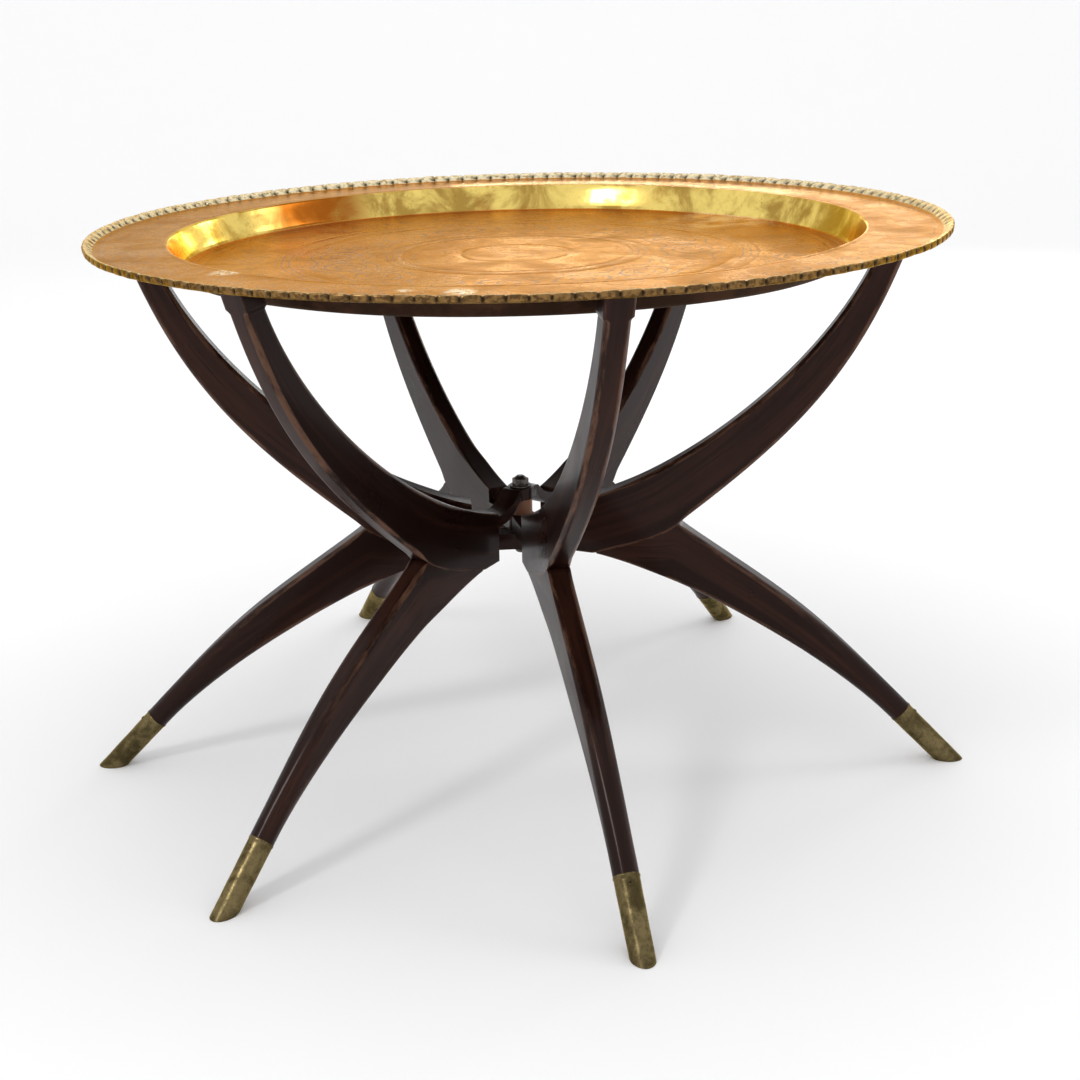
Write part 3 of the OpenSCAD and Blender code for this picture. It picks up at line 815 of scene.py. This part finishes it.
def crimpUnit(c, t):
    pitch = 2 * math.pi / t["crimps"]
    profile = np.array(c["profile"])
    steps = len(profile)
    level = np.linspace(0, 1, steps)
    outer = np.sin(np.clip(level * 1.05, 0, 1) * math.pi) ** 0.7        # nothing moves at the two feet
    inner = np.exp(-((level - 0.17) / 0.10) ** 2)
    lowOut = np.exp(-((level - 0.60) / 0.09) ** 2)
    rings, fold, free, outside = [], [], [], []
    for share in tuple(t["crimpSteps"]) + (1,):
        near = min(share, (1 - share) * 0.6)
        pinch = math.exp(-(near / c["pinchWidth"]) ** 2)
        notch = math.exp(-(near / c["notchWidth"]) ** 2) * lowOut
        pocket = max(0.0, 1 - share / c["pocketEnd"]) * (share > 0.01)
        puff = math.sin(math.pi * share) ** 0.8 * c["puff"]
        x = profile[:, 0] - outer * (pinch * c["pinchIn"] - puff * 0.4) * (level > 0.3)
        x = x - notch * c["notchIn"] + inner * pocket * c["pocketDepth"]
        z = profile[:, 1] + outer * puff * 0.5 * (profile[:, 1] > 0)
        z = z - c["pinchDrop"] * pinch * outer * np.abs(profile[:, 1])
        z = z - inner * pocket * 0.9 * (profile[:, 1] > 0.3)
        r = t["bandR"] + x / 1000
        a = share * pitch
        rings.append(np.stack([r * math.cos(a), r * math.sin(a), t["rimZ"] + z / 1000], 1))
        dark = np.clip(inner * 1.5 * pocket + pinch * outer * 0.5 + notch * 1.2 + 0.2 * inner, 0, 1)
        fold.append(dark)
        free.append(outer)
        outside.append(smoothStep(level, 0.40, 0.48) * (1 - smoothStep(level, 0.80, 0.95)))
    return rings, fold, free, outside


def openSheet(name, rows, marks):
    rows = np.array(rows, float)
    n, m = rows.shape[:2]
    faces = [(i * m + k, (i + 1) * m + k, (i + 1) * m + k + 1, i * m + k + 1)
             for i in range(n - 1) for k in range(m - 1)]
    mesh = bpy.data.meshes.new(name)
    mesh.from_pydata(rows.reshape(-1, 3).tolist(), [], faces)
    for key, values in marks.items():
        layer = mesh.attributes.new(key, "FLOAT", "POINT")
        layer.data.foreach_set("value", np.array(values, np.float32).reshape(-1))
    return mesh


# the node tree that sets one crimp round the edge as often as asked, and lets it run a little uneven
def crimpTree():
    tree = bpy.data.node_groups.new("crimpedEdge", "GeometryNodeTree")
    for label, kind in (("Crimp", "Geometry"), ("Count", "Int"), ("Centre", "Vector"),
                        ("Unevenness", "Float"), ("Seed", "Float"), ("Finish", "Material")):
        tree.interface.new_socket(label, in_out="INPUT", socket_type="NodeSocket" + kind)
    tree.interface.new_socket("Edge", in_out="OUTPUT", socket_type="NodeSocketGeometry")
    given = tree.nodes.new("NodeGroupInput").outputs
    index = tree.nodes.new("GeometryNodeInputIndex").outputs[0]
    step = calc(tree, "DIVIDE", 2 * math.pi, given["Count"])
    turn = put(tree, "ShaderNodeCombineXYZ", {2: calc(tree, "MULTIPLY", index, step)}).outputs[0]
    points = put(tree, "GeometryNodePoints", {"Count": given["Count"],
                                              "Position": given["Centre"]}).outputs[0]
    copies = put(tree, "GeometryNodeInstanceOnPoints", {"Points": points, "Instance": given["Crimp"],
                                                        "Rotation": turn}).outputs[0]
    real = put(tree, "GeometryNodeRealizeInstances", {"Geometry": copies}).outputs[0]
    whole = put(tree, "GeometryNodeMergeByDistance", {"Geometry": real, "Distance": 0.00001}).outputs[0]
    free = put(tree, "GeometryNodeInputNamedAttribute", {"Name": "free"}, data_type="FLOAT").outputs[0]
    waves = put(tree, "ShaderNodeTexNoise", {"W": given["Seed"], "Scale": 75.0, "Detail": 2.0},
                noise_dimensions="4D")
    centred = put(tree, "ShaderNodeVectorMath", {0: waves.outputs["Color"], 1: (0.5, 0.5, 0.5)},
                  operation="SUBTRACT").outputs[0]
    amount = calc(tree, "MULTIPLY", free, given["Unevenness"])
    offset = put(tree, "ShaderNodeVectorMath", {0: centred, "Scale": calc(tree, "MULTIPLY", amount, 2.0)},
                 operation="SCALE").outputs[0]
    moved = put(tree, "GeometryNodeSetPosition", {"Geometry": whole, "Offset": offset}).outputs[0]
    final = put(tree, "GeometryNodeSetMaterial", {"Geometry": moved,
                                                  "Material": given["Finish"]}).outputs[0]
    result = tree.nodes.new("NodeGroupOutput")
    tree.links.new(final, result.inputs[0])
    return tree


def runTree(mesh, tree, values):
    holder = bpy.data.objects.new(mesh.name, mesh)
    collection.objects.link(holder)
    modifier = holder.modifiers.new(tree.name, "NODES")
    modifier.node_group = tree
    for item in tree.interface.items_tree:
        if item.in_out == "INPUT" and item.name in values:
            modifier[item.identifier] = values[item.name]
    holder.update_tag()
    graph = bpy.context.evaluated_depsgraph_get()
    made = bpy.data.meshes.new_from_object(holder.evaluated_get(graph), preserve_all_data_layers=True,
                                           depsgraph=graph)
    holder.modifiers.clear()
    bpy.data.objects.remove(holder)
    return made


def readMesh(mesh, names):
    co = np.zeros(len(mesh.vertices) * 3, np.float32)
    mesh.vertices.foreach_get("co", co)
    marks = {}
    for key in names:
        values = np.zeros(len(mesh.vertices), np.float32)
        if key in mesh.attributes:
            mesh.attributes[key].data.foreach_get("value", values)
        marks[key] = values
    return co.reshape(-1, 3).astype(float), [tuple(p.vertices) for p in mesh.polygons], marks


# the spun body: rings from the crimps' foot to the middle, with fewer sides on the floor
def spunFace(path, t, isUnder):
    pitch = 2 * math.pi / t["crimps"]
    fine = np.array([(i + s) * pitch for i in range(t["crimps"]) for s in t["crimpSteps"]])
    coarse = fine[::4]
    verts, faces, wall = [], [], []
    last = None
    for r, z in path:
        angles = coarse if r < t["coarseR"] else fine
        start, count = len(verts), len(angles)
        if r < 1e-6:
            verts.append((0, 0, z))
            wall.append(0)
            faces += [(last[0] + k, last[0] + (k + 1) % last[1], start) for k in range(last[1])]
            break
        onSlope = t["wellFloorR"] - 0.0005 < r < t["wellTopR"] + 0.0012 and not isUnder
        for a in angles:
            verts.append((r * math.cos(a), r * math.sin(a), z))
            wall.append(float(onSlope))
        if last and last[1] == count:
            faces += [(last[0] + k, last[0] + (k + 1) % count, start + (k + 1) % count, start + k)
                      for k in range(count)]
        elif last:
            for k in range(count):
                outerSide = [last[0] + (4 * k + j) % last[1] for j in range(5)]
                faces.append(tuple(outerSide) + (start + (k + 1) % count, start + k))
        last = (start, count)
    return np.array(verts, float), faces, np.array(wall)


def makeTray(t, c):
    names = ("wall", "crimp", "fold", "under", "outside")
    lift = t["rimZ"] - t["sheet"]
    top = easedPath([(t["bandR"], t["rimZ"]), (t["wellTopR"], t["rimZ"]), (t["wellFloorR"], t["floorZ"]),
                     (t["flatR"], t["floorZ"])], (t["topEase"], t["footEase"]))
    top = filledPath(top, 0.006, t["rimGrooves"], t["grooveDepth"], t["grooveHalf"])
    floor = filledPath(np.array([(t["flatR"], t["floorZ"]), (0.0, t["floorZ"])]), 0.011, t["grooves"],
                       t["grooveDepth"], t["grooveHalf"])
    top = np.concatenate([top[top[:, 0] > t["flatR"] + t["footGap"]], floor])
    slant = t["sheet"] / 2
    bottomZ = t["floorZ"] - t["sheet"]
    under = easedPath([(t["bandR"], lift), (t["wellTopR"] + slant, lift), (t["wellFloorR"] + slant, bottomZ),
                       (t["flatR"], bottomZ)], (t["topEase"], t["footEase"]))
    bottom = filledPath(np.array([(t["flatR"], bottomZ), (0.0, bottomZ)]), 0.03)
    under = np.concatenate([filledPath(under, 0.012), bottom[1:]])
    verts, faces, marks = [], [], {key: [] for key in names}

    def add(co, polygons, **given):
        start = sum(len(v) for v in verts)
        verts.append(co)
        faces.extend(tuple(start + k for k in p) for p in polygons)
        for key in names:
            marks[key].append(np.broadcast_to(given.get(key, 0.0), len(co)))

    co, polygons, wall = spunFace(top, t, False)
    add(co, polygons, wall=wall)
    co, polygons, wall = spunFace(under, t, True)
    add(co, [p[::-1] for p in polygons], under=1.0)
    rows, fold, free, outside = crimpUnit(c, t)
    unit = openSheet("crimp", rows, {"fold": fold, "free": free, "outside": outside})
    edge = runTree(unit, crimpTree(), {"Count": t["crimps"], "Centre": (0.0, 0.0, 0.0),
                                       "Unevenness": t["unevenness"], "Seed": t["seed"],
                                       "Finish": trayFinish})
    co, polygons, found = readMesh(edge, ("fold", "outside"))
    z = co[:, 2] - t["rimZ"]
    outward = np.hypot(co[:, 0], co[:, 1]) - t["bandR"]
    # the crimps' lower faces take the underside's colour too: tarnish and painted shade
    lower = ((z < -0.0012) & (outward < 0.0055)).astype(float)
    add(co, polygons, fold=found["fold"], crimp=np.clip(outward / 0.0012, 0, 1), under=lower,
        outside=found["outside"])

    co = np.concatenate(verts)
    # the hand-spun sheet runs a little out of true, but lies flat where the arms carry it
    r, a = np.hypot(co[:, 0], co[:, 1]), np.arctan2(co[:, 1], co[:, 0])
    loose = np.clip(np.abs(r - 0.332) / 0.02 - 1, 0, 1) * np.clip(r / 0.1, 0, 1)
    sway = np.sin(3 * a + 0.7) * 0.5 + np.sin(7 * a + 2.1 + r * 30) * 0.3
    sway += np.sin(11 * a + 4.0 - r * 55) * 0.25
    co[:, 2] += t["sway"] * loose * sway
    co[:, 0] += pivotX
    co[:, 1] += pivotY
    mesh = bpy.data.meshes.new("tray")
    mesh.from_pydata(co.tolist(), [], faces)
    for key in names:
        values = np.concatenate(marks[key]).astype(np.float32)
        mesh.attributes.new(key, "FLOAT", "POINT").data.foreach_set("value", values)
    tidyMesh(mesh, 50, weld=5e-6)
    return addPiece("tray_spun_and_crimped", mesh, trayFinish, "tray", "tray_brass",
                    "tray_rim", "tray_wall", "tray_bottom")


makeTray(tray, crimp)
print("tray ready")


# pale floor and soft light
studio = dict(floorColor=(0.93, 0.93, 0.93), floorFront=-5.0, floorBack=3.2, bend=1.6, wallTop=5.0,
              halfWide=9.0, sky=(0.99, 0.99, 1.0), skyStrength=1.04, keyPower=11.0,
              keyPlace=(-1.25, -1.45, 1.95), keySize=(0.42, 0.42), fillPower=6.5,
              fillPlace=(1.95, 0.80, 1.9), fillSize=(0.8, 0.8), backPower=3.0, backPlace=(1.3, 2.2, 1.25),
              backSize=(0.5, 0.3), stripPower=4.4, stripPlace=(0.55, 3.0, 0.80), stripSize=(1.7, 0.22))


def makeFloor(s):
    path = [(s["floorFront"], 0.0), (s["floorBack"], 0.0)]
    for t in np.linspace(0, math.pi / 2, 17)[1:]:
        path.append((s["floorBack"] + s["bend"] * math.sin(t), s["bend"] * (1 - math.cos(t))))
    path.append((s["floorBack"] + s["bend"], s["wallTop"]))
    verts = [(side * s["halfWide"], y, z) for y, z in path for side in (-1, 1)]
    faces = [(2 * i, 2 * i + 1, 2 * i + 3, 2 * i + 2) for i in range(len(path) - 1)]
    mesh = bpy.data.meshes.new("floor")
    mesh.from_pydata(verts, [], faces)
    mesh.shade_smooth()
    floor = bpy.data.objects.new("floor", mesh)
    collection.objects.link(floor)
    material, tree, shader = newMaterial("paleFloor")
    shader.inputs["Base Color"].default_value = (*s["floorColor"], 1)
    shader.inputs["Roughness"].default_value = 0.7
    mesh.materials.append(material)


def addLight(name, power, place, size, aim=(0.0, 0.0, 0.35)):
    data = bpy.data.lights.new(name, "AREA")
    data.shape = "RECTANGLE"
    data.size, data.size_y = size
    data.energy = power
    light = bpy.data.objects.new(name, data)
    light.location = place
    light.rotation_euler = (Vector(aim) - Vector(place)).to_track_quat("-Z", "Y").to_euler()
    collection.objects.link(light)
    return light


makeFloor(studio)
addLight("key", studio["keyPower"], studio["keyPlace"], studio["keySize"])
addLight("fill", studio["fillPower"], studio["fillPlace"], studio["fillSize"])
addLight("back", studio["backPower"], studio["backPlace"], studio["backSize"])
# a low strip light behind the table, out of the camera's sight
strip = addLight("strip", studio["stripPower"], studio["stripPlace"], studio["stripSize"])
strip.visible_camera = False
world = bpy.data.worlds.new("studio")
world.use_nodes = True
background = world.node_tree.nodes["Background"]
background.inputs["Color"].default_value = (*studio["sky"], 1)
background.inputs["Strength"].default_value = studio["skyStrength"]
scene.world = world
scene.view_settings.view_transform = "Standard"
print("studio ready")
